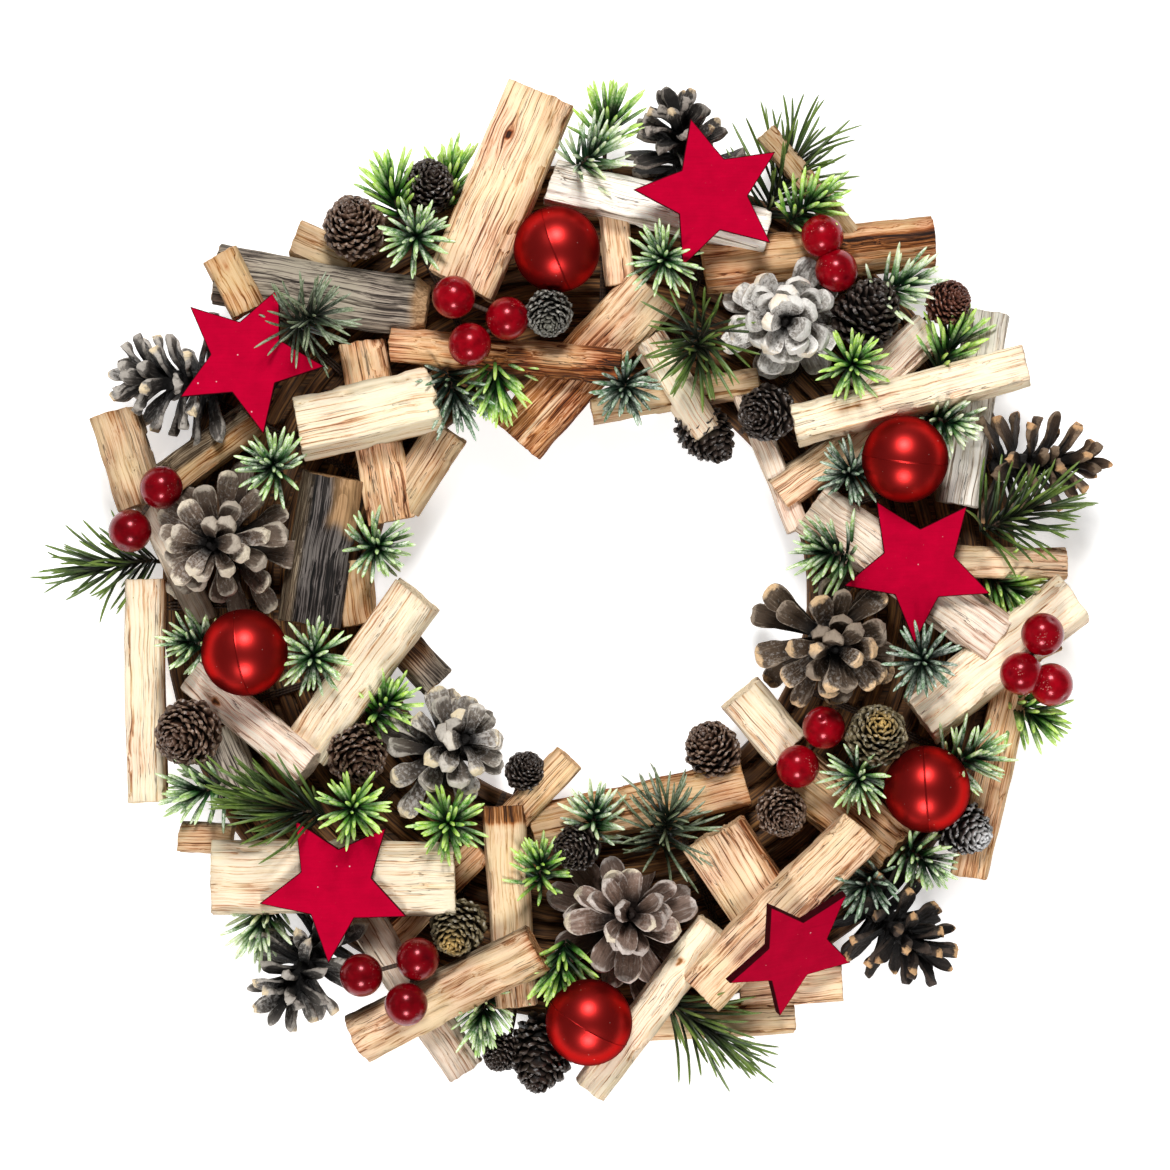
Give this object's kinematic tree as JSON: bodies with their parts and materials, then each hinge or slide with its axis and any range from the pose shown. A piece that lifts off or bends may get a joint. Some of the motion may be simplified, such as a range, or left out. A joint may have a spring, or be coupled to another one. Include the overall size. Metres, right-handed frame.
{
  "type": "christmas wreath",
  "caption": "Round christmas wreath of split kindling on a bound backing ring, dressed with stars, baubles, berries, pine cones and fir sprigs; hangs on a door or lies flat",
  "frame": {"origin": "centre of the wreath's outline in the plan, on the flat back of the backing ring", "axes": "+Z points out of the decorated front, +Y to the top of the wreath as it hangs, +X to its right seen from the front"},
  "size_m": [0.3584, 0.357, 0.071],
  "materials": {
    "backing": "bound brown vine, matte",
    "star_paint": "thin ply painted satin red",
    "bauble_satin": "satin red plastic",
    "berry_gloss": "glossy red lacquer with fine glitter",
    "cone_scales": "weathered pine cone scales, lightly frosted",
    "small_cone_scales": "dark closed cone scales",
    "wood_pale": "split wood, raw and pale",
    "wood_tan": "split wood, tan with brown grain",
    "wood_grey": "weathered grey bark-edged wood",
    "wood_scorched": "wood scorched dark brown",
    "needles": "moulded needles, dark roots, lime and frosted tips"
  },
  "bodies": {
    "root": {"backing_ring": "backing", "star_1": "star_paint", "star_2": "star_paint", "star_3": "star_paint", "star_4": "star_paint", "star_5": "star_paint", "bauble_1": "bauble_satin", "bauble_2": "bauble_satin", "bauble_3": "bauble_satin", "bauble_4": "bauble_satin", "bauble_5": "bauble_satin", "berry_pick_1": "berry_gloss", "berry_pick_2": "berry_gloss", "berry_pick_3": "berry_gloss", "berry_pick_4": "berry_gloss", "berry_pick_5": "berry_gloss", "berry_pick_6": "berry_gloss", "cone_upper_right": "cone_scales", "cone_top": "cone_scales", "cone_right": "cone_scales", "cone_lower_right": "cone_scales", "cone_bottom_right": "cone_scales", "cone_bottom": "cone_scales", "cone_left_low": "cone_scales", "cone_left_high": "cone_scales", "cone_top_left": "cone_scales", "cone_bottom_left": "cone_scales", "small_cones_1": "small_cone_scales", "small_cones_2": "small_cone_scales", "small_cones_3": "small_cone_scales", "small_cones_4": "small_cone_scales", "small_cones_5": "small_cone_scales", "wood_top_plank": "wood_tan", "wood_top_pale": "wood_pale", "wood_grey_log": "wood_grey", "wood_left_cream": "wood_pale", "wood_scorched_pair": "wood_scorched", "wood_upper_right_under": "wood_tan", "wood_half_log": "wood_scorched", "wood_right_cream": "wood_pale", "wood_right_pale": "wood_pale", "wood_right_long": "wood_tan", "wood_inner_yellow": "wood_pale", "wood_lower_bar": "wood_tan", "wood_lower_right_long": "wood_tan", "wood_bottom_pale": "wood_pale", "wood_split_log": "wood_tan", "wood_lower_left_pale": "wood_pale", "wood_left_upright": "wood_pale", "wood_left_half_round": "wood_tan", "wood_charred": "wood_scorched", "wood_left_yellow": "wood_pale", "greenery_1": "needles", "greenery_2": "needles", "greenery_3": "needles", "greenery_4": "needles", "greenery_5": "needles", "greenery_6": "needles", "greenery_7": "needles", "greenery_8": "needles"}
  },
  "joints": []
}
